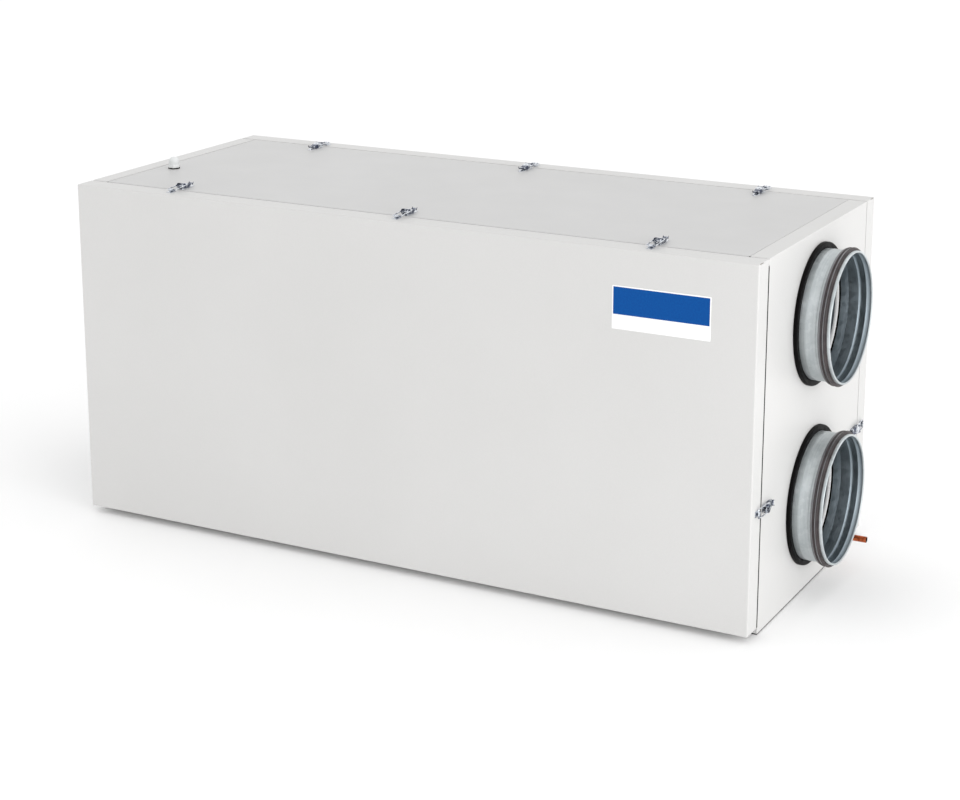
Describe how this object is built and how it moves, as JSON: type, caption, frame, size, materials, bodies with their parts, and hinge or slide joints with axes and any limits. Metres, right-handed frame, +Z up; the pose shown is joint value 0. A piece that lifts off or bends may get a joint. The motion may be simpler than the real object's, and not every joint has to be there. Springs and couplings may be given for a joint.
{
  "type": "heat recovery unit",
  "caption": "Insulated ventilation box with round duct spigots at both ends, latched lift-off doors front and rear, a plate heat exchanger, fans, filters and a drain.",
  "frame": {"origin": "on the floor, under the middle of the casing", "axes": "+X along the length towards the end with the drain stub, -Y out of the front door, +Z up"},
  "size_m": [1.602, 0.636, 0.7254],
  "materials": {
    "powder_coat": "warm light grey powder coat, fine texture",
    "mineral_wool": "compressed mineral wool, faced with sheet inside",
    "black_rubber": "matt EPDM",
    "galvanised_sheet": "galvanised, faint spangle",
    "bright_zinc": "bright zinc plate",
    "stainless": "brushed stainless",
    "copper": "drawn copper tube",
    "gland_plastic": "light grey polyamide",
    "exchanger_aluminium": "thin aluminium plate",
    "motor_housing": "black-coated metal",
    "filter_fleece": "pleated synthetic fleece",
    "actuator_plastic": "orange moulded plastic",
    "controller_plastic": "light grey moulded plastic",
    "fan_plastic": "black glass-filled polyamide"
  },
  "bodies": {
    "casing": {"top_outer_skin": "powder_coat", "top_insulation": "mineral_wool", "base_outer_skin": "powder_coat", "base_insulation": "mineral_wool", "left_end_outer_skin": "powder_coat", "left_end_insulation": "mineral_wool", "right_end_outer_skin": "powder_coat", "right_end_insulation": "mineral_wool", "condensate_tray": "stainless", "front_door_gasket": "black_rubber", "rear_door_gasket": "black_rubber", "left_upper_spigot": "galvanised_sheet", "left_upper_flange_gasket": "black_rubber", "left_upper_lip_seal": "black_rubber", "left_lower_spigot": "galvanised_sheet", "left_lower_flange_gasket": "black_rubber", "left_lower_lip_seal": "black_rubber", "right_upper_spigot": "galvanised_sheet", "right_upper_flange_gasket": "black_rubber", "right_upper_lip_seal": "black_rubber", "right_lower_spigot": "galvanised_sheet", "right_lower_flange_gasket": "black_rubber", "right_lower_lip_seal": "black_rubber", "drain_stub": "copper", "cable_gland": "gland_plastic", "exchanger_plates": "exchanger_aluminium", "exchanger_frame": "galvanised_sheet", "supply_fan_mount": "motor_housing", "exhaust_fan_mount": "motor_housing", "extract_filter": "filter_fleece", "outdoor_filter": "filter_fleece", "damper_actuator": "actuator_plastic", "controller_box": "controller_plastic"},
    "front_door": {"front_door_outer_skin": "powder_coat", "front_door_insulation": "mineral_wool"},
    "rear_door": {"rear_door_outer_skin": "powder_coat", "rear_door_insulation": "mineral_wool"},
    "front_top_left_lever": {"front_top_left_lever": "bright_zinc"},
    "front_top_left_loop": {"front_top_left_loop": "bright_zinc"},
    "front_top_middle_lever": {"front_top_middle_lever": "bright_zinc"},
    "front_top_middle_loop": {"front_top_middle_loop": "bright_zinc"},
    "front_top_right_lever": {"front_top_right_lever": "bright_zinc"},
    "front_top_right_loop": {"front_top_right_loop": "bright_zinc"},
    "front_end_left_lever": {"front_end_left_lever": "bright_zinc"},
    "front_end_left_loop": {"front_end_left_loop": "bright_zinc"},
    "front_end_right_lever": {"front_end_right_lever": "bright_zinc"},
    "front_end_right_loop": {"front_end_right_loop": "bright_zinc"},
    "rear_top_left_lever": {"rear_top_left_lever": "bright_zinc"},
    "rear_top_left_loop": {"rear_top_left_loop": "bright_zinc"},
    "rear_top_middle_lever": {"rear_top_middle_lever": "bright_zinc"},
    "rear_top_middle_loop": {"rear_top_middle_loop": "bright_zinc"},
    "rear_top_right_lever": {"rear_top_right_lever": "bright_zinc"},
    "rear_top_right_loop": {"rear_top_right_loop": "bright_zinc"},
    "rear_end_left_lever": {"rear_end_left_lever": "bright_zinc"},
    "rear_end_left_loop": {"rear_end_left_loop": "bright_zinc"},
    "rear_end_right_lever": {"rear_end_right_lever": "bright_zinc"},
    "rear_end_right_loop": {"rear_end_right_loop": "bright_zinc"},
    "supply_fan_wheel": {"supply_fan_wheel": "fan_plastic"},
    "exhaust_fan_wheel": {"exhaust_fan_wheel": "fan_plastic"},
    "bypass_damper": {"bypass_damper_blade": "galvanised_sheet"}
  },
  "joints": [
    {"name": "front_door_pull_off", "type": "slide", "parent": "casing", "child": "front_door", "axis": [0, -1, 0], "range_m": [0, 0.3]},
    {"name": "rear_door_pull_off", "type": "slide", "parent": "casing", "child": "rear_door", "axis": [0, 1, 0], "range_m": [0, 0.3]},
    {"name": "front_top_left_lever_hinge", "type": "hinge", "parent": "casing", "child": "front_top_left_lever", "pos_m": [-0.518, -0.259, 0.7068], "axis": [1, 0, 0], "range_deg": [0, 110]},
    {"name": "front_top_left_loop_hinge", "type": "hinge", "parent": "front_top_left_lever", "child": "front_top_left_loop", "pos_m": [-0.518, -0.24949, 0.70814], "axis": [1, 0, 0], "range_deg": [-132.5, 0]},
    {"name": "front_top_middle_lever_hinge", "type": "hinge", "parent": "casing", "child": "front_top_middle_lever", "pos_m": [0, -0.259, 0.7068], "axis": [1, 0, 0], "range_deg": [0, 110]},
    {"name": "front_top_middle_loop_hinge", "type": "hinge", "parent": "front_top_middle_lever", "child": "front_top_middle_loop", "pos_m": [0, -0.24949, 0.70814], "axis": [1, 0, 0], "range_deg": [-132.5, 0]},
    {"name": "front_top_right_lever_hinge", "type": "hinge", "parent": "casing", "child": "front_top_right_lever", "pos_m": [0.518, -0.259, 0.7068], "axis": [1, 0, 0], "range_deg": [0, 110]},
    {"name": "front_top_right_loop_hinge", "type": "hinge", "parent": "front_top_right_lever", "child": "front_top_right_loop", "pos_m": [0.518, -0.24949, 0.70814], "axis": [1, 0, 0], "range_deg": [-132.5, 0]},
    {"name": "front_end_left_lever_hinge", "type": "hinge", "parent": "casing", "child": "front_end_left_lever", "pos_m": [-0.7388, -0.259, 0.24], "axis": [0, 0, 1], "range_deg": [0, 110]},
    {"name": "front_end_left_loop_hinge", "type": "hinge", "parent": "front_end_left_lever", "child": "front_end_left_loop", "pos_m": [-0.74014, -0.24949, 0.24], "axis": [0, 0, 1], "range_deg": [-132.5, 0]},
    {"name": "front_end_right_lever_hinge", "type": "hinge", "parent": "casing", "child": "front_end_right_lever", "pos_m": [0.7388, -0.259, 0.24], "axis": [0, 0, -1], "range_deg": [0, 110]},
    {"name": "front_end_right_loop_hinge", "type": "hinge", "parent": "front_end_right_lever", "child": "front_end_right_loop", "pos_m": [0.74014, -0.24949, 0.24], "axis": [0, 0, -1], "range_deg": [-132.5, 0]},
    {"name": "rear_top_left_lever_hinge", "type": "hinge", "parent": "casing", "child": "rear_top_left_lever", "pos_m": [-0.518, 0.259, 0.7068], "axis": [-1, 0, 0], "range_deg": [0, 110]},
    {"name": "rear_top_left_loop_hinge", "type": "hinge", "parent": "rear_top_left_lever", "child": "rear_top_left_loop", "pos_m": [-0.518, 0.24949, 0.70814], "axis": [-1, 0, 0], "range_deg": [-132.5, 0]},
    {"name": "rear_top_middle_lever_hinge", "type": "hinge", "parent": "casing", "child": "rear_top_middle_lever", "pos_m": [0, 0.259, 0.7068], "axis": [-1, 0, 0], "range_deg": [0, 110]},
    {"name": "rear_top_middle_loop_hinge", "type": "hinge", "parent": "rear_top_middle_lever", "child": "rear_top_middle_loop", "pos_m": [0, 0.24949, 0.70814], "axis": [-1, 0, 0], "range_deg": [-132.5, 0]},
    {"name": "rear_top_right_lever_hinge", "type": "hinge", "parent": "casing", "child": "rear_top_right_lever", "pos_m": [0.518, 0.259, 0.7068], "axis": [-1, 0, 0], "range_deg": [0, 110]},
    {"name": "rear_top_right_loop_hinge", "type": "hinge", "parent": "rear_top_right_lever", "child": "rear_top_right_loop", "pos_m": [0.518, 0.24949, 0.70814], "axis": [-1, 0, 0], "range_deg": [-132.5, 0]},
    {"name": "rear_end_left_lever_hinge", "type": "hinge", "parent": "casing", "child": "rear_end_left_lever", "pos_m": [-0.7388, 0.259, 0.24], "axis": [0, 0, -1], "range_deg": [0, 110]},
    {"name": "rear_end_left_loop_hinge", "type": "hinge", "parent": "rear_end_left_lever", "child": "rear_end_left_loop", "pos_m": [-0.74014, 0.24949, 0.24], "axis": [0, 0, -1], "range_deg": [-132.5, 0]},
    {"name": "rear_end_right_lever_hinge", "type": "hinge", "parent": "casing", "child": "rear_end_right_lever", "pos_m": [0.7388, 0.259, 0.24], "axis": [0, 0, 1], "range_deg": [0, 110]},
    {"name": "rear_end_right_loop_hinge", "type": "hinge", "parent": "rear_end_right_lever", "child": "rear_end_right_loop", "pos_m": [0.74014, 0.24949, 0.24], "axis": [0, 0, 1], "range_deg": [-132.5, 0]},
    {"name": "supply_fan_spin", "type": "hinge", "parent": "casing", "child": "supply_fan_wheel", "pos_m": [-0.385, 0, 0.2], "axis": [-1, 0, 0], "continuous": true},
    {"name": "exhaust_fan_spin", "type": "hinge", "parent": "casing", "child": "exhaust_fan_wheel", "pos_m": [0.385, 0, 0.2], "axis": [1, 0, 0], "continuous": true},
    {"name": "bypass_damper_turn", "type": "hinge", "parent": "casing", "child": "bypass_damper", "pos_m": [0.1591, 0.2, 0.4671], "axis": [0.7071, 0, -0.7071], "range_deg": [0, 90]}
  ],
  "couplings": [
    {"joint": "front_top_left_loop_hinge", "follows": "front_top_left_lever_hinge", "ratio": -1.2},
    {"joint": "front_top_middle_loop_hinge", "follows": "front_top_middle_lever_hinge", "ratio": -1.2},
    {"joint": "front_top_right_loop_hinge", "follows": "front_top_right_lever_hinge", "ratio": -1.2},
    {"joint": "front_end_left_loop_hinge", "follows": "front_end_left_lever_hinge", "ratio": -1.2},
    {"joint": "front_end_right_loop_hinge", "follows": "front_end_right_lever_hinge", "ratio": -1.2},
    {"joint": "rear_top_left_loop_hinge", "follows": "rear_top_left_lever_hinge", "ratio": -1.2},
    {"joint": "rear_top_middle_loop_hinge", "follows": "rear_top_middle_lever_hinge", "ratio": -1.2},
    {"joint": "rear_top_right_loop_hinge", "follows": "rear_top_right_lever_hinge", "ratio": -1.2},
    {"joint": "rear_end_left_loop_hinge", "follows": "rear_end_left_lever_hinge", "ratio": -1.2},
    {"joint": "rear_end_right_loop_hinge", "follows": "rear_end_right_lever_hinge", "ratio": -1.2}
  ]
}
